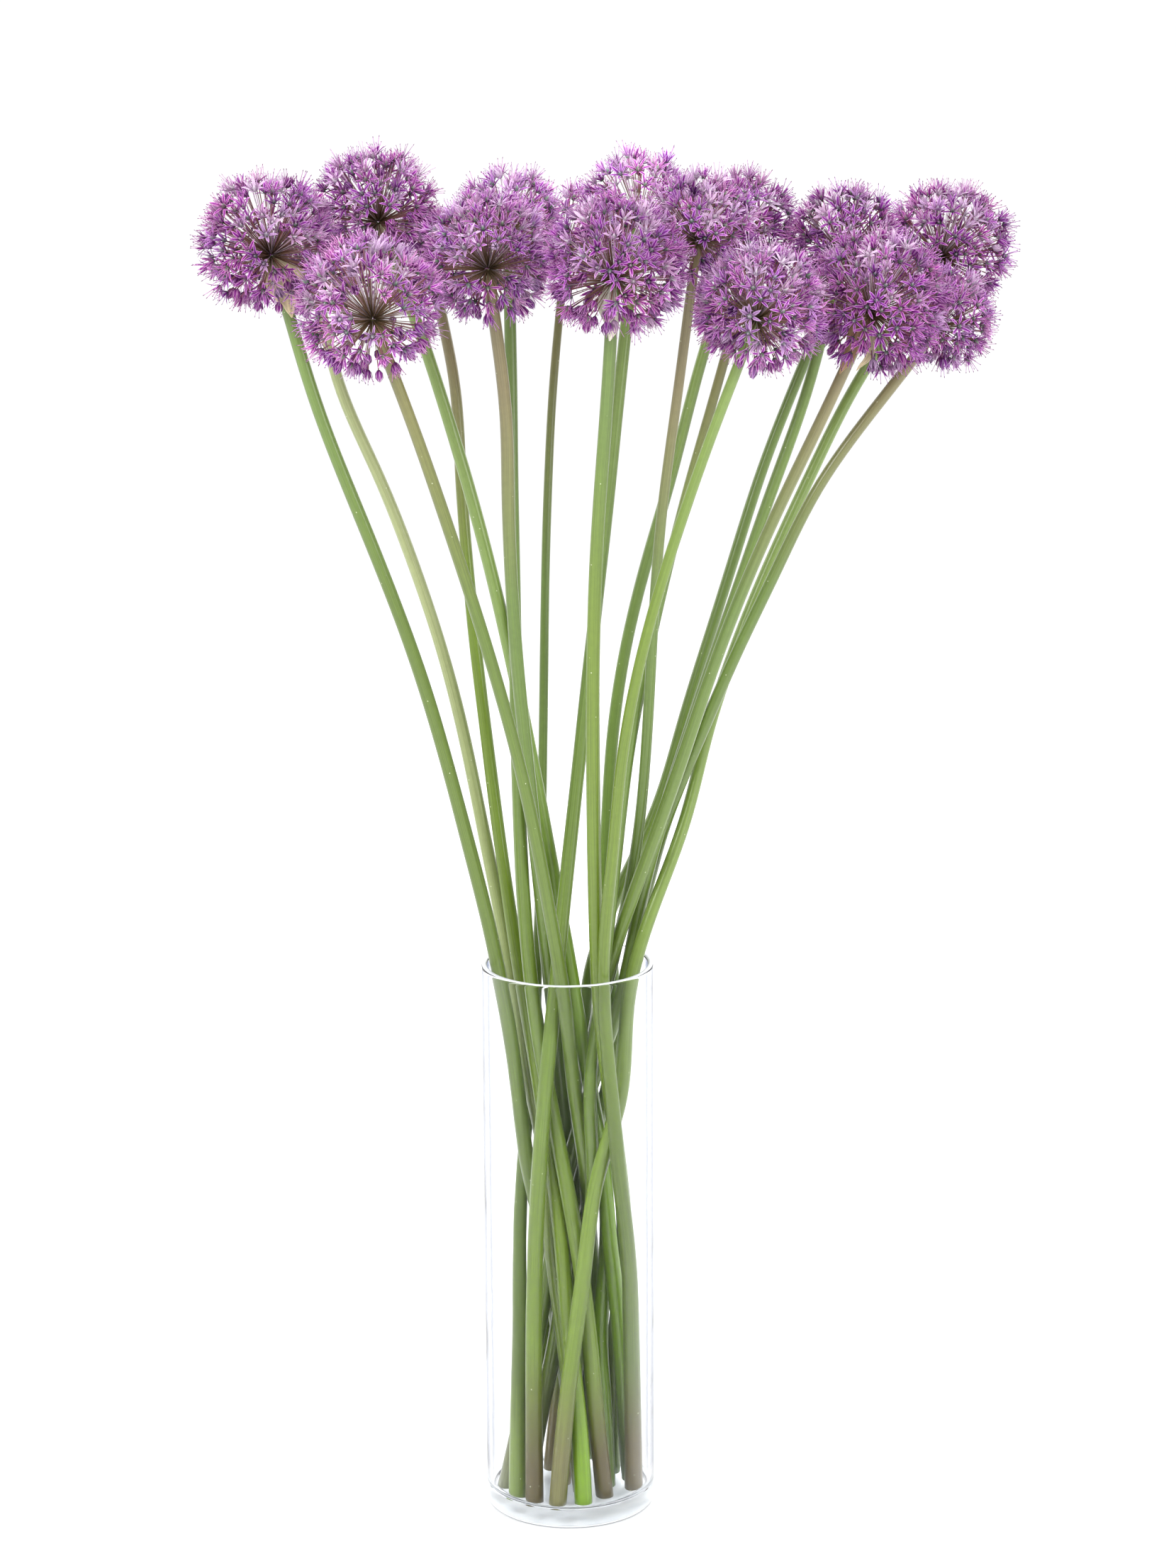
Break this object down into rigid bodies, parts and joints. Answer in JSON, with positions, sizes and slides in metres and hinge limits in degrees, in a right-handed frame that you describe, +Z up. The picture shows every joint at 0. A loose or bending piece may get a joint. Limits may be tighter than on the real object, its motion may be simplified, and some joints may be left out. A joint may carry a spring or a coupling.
{
  "type": "allium flower heads in a glass vase",
  "caption": "A tall clear glass cylinder vase holding a fan of long-stemmed ornamental onion flowers with round lilac-purple heads",
  "frame": {"origin": "centre of the vase's flat underside, where it rests on the table", "axes": "+Z up along the vase, +X to the right as seen from the front, -Y to the front, which is the side the picture shows"},
  "size_m": [0.5508, 0.3227, 0.9626],
  "materials": {
    "vase_glass": "gloss",
    "stalk_green": "satin",
    "stalk_lime": "satin",
    "stalk_grey": "satin",
    "stalk_olive": "satin",
    "stalk_brown": "satin",
    "floret_lilac": "matte",
    "floret_violet": "matte"
  },
  "bodies": {
    "root": {"vase": "vase_glass", "stem_01": "stalk_green", "head_01": "floret_violet", "stem_02": "stalk_grey", "head_02": "floret_lilac", "stem_03": "stalk_olive", "head_03": "floret_lilac", "stem_04": "stalk_lime", "head_04": "floret_violet", "stem_05": "stalk_brown", "head_05": "floret_lilac", "stem_06": "stalk_olive", "head_06": "floret_lilac", "stem_07": "stalk_green", "head_07": "floret_lilac", "stem_08": "stalk_olive", "head_08": "floret_lilac", "stem_09": "stalk_green", "head_09": "floret_violet", "stem_10": "stalk_lime", "head_10": "floret_lilac", "stem_11": "stalk_brown", "head_11": "floret_lilac", "stem_12": "stalk_green", "head_12": "floret_violet", "stem_13": "stalk_brown", "head_13": "floret_violet", "stem_14": "stalk_lime", "head_14": "floret_lilac", "stem_15": "stalk_green", "head_15": "floret_violet", "stem_16": "stalk_olive", "head_16": "floret_violet", "stem_17": "stalk_brown", "head_17": "floret_violet", "stem_18": "stalk_green", "head_18": "floret_violet", "stem_19": "stalk_brown", "head_19": "floret_lilac"}
  },
  "joints": []
}
